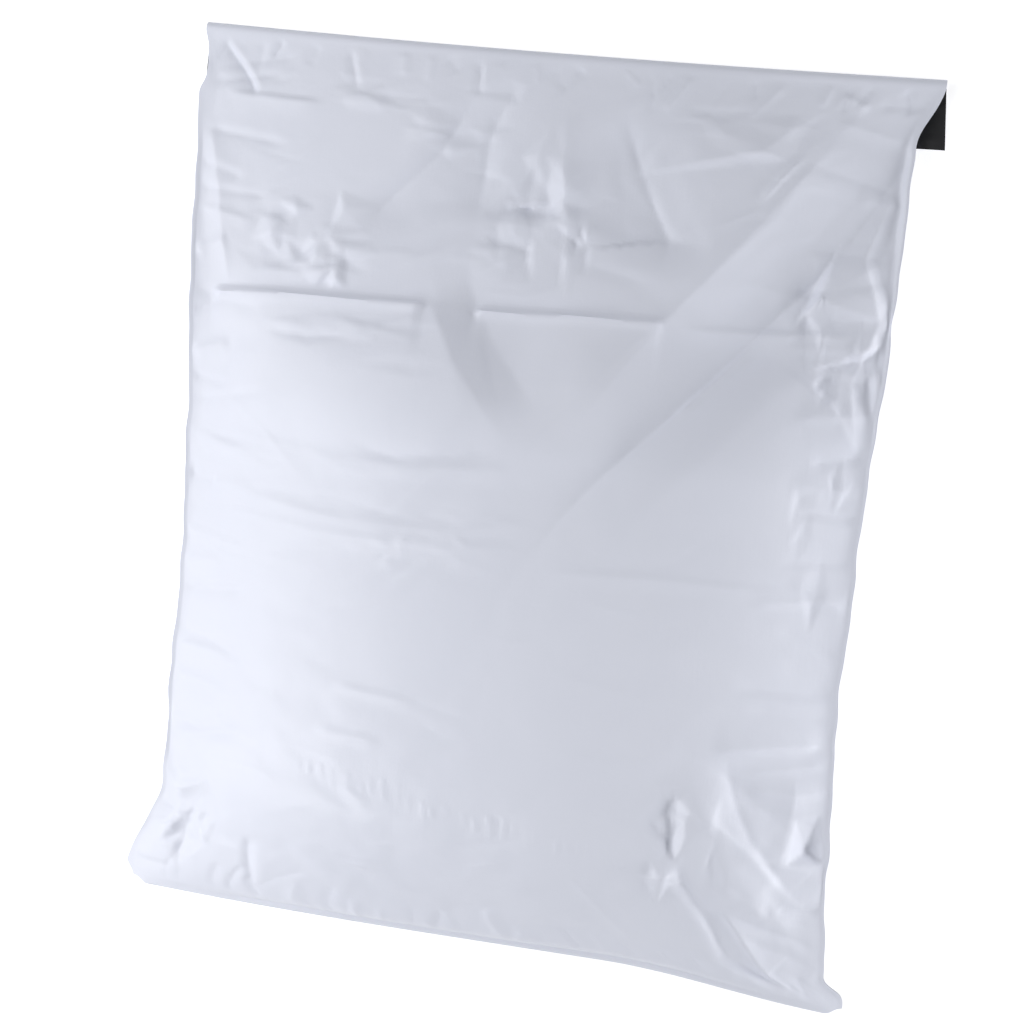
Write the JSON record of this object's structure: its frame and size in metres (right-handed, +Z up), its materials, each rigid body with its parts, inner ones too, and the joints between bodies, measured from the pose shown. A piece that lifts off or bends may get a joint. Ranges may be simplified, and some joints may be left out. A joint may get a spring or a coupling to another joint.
{
  "type": "plastic mailing envelope",
  "caption": "Filled plastic mailing envelope: a welded white film bag, black inside, with soft goods in it and its closing flap folded down behind.",
  "frame": {"origin": "on the floor, under the middle of the envelope's bounding box, as it lies on its back", "axes": "+X across the envelope to the right as seen from its front, +Y from the folded bottom to the top fold and flap, +Z up out of the front panel"},
  "size_m": [0.4058, 0.4942, 0.0553],
  "materials": {
    "white_film": "satin white film, black on its inner side"
  },
  "bodies": {
    "root": {"envelope": "white_film"}
  },
  "joints": []
}
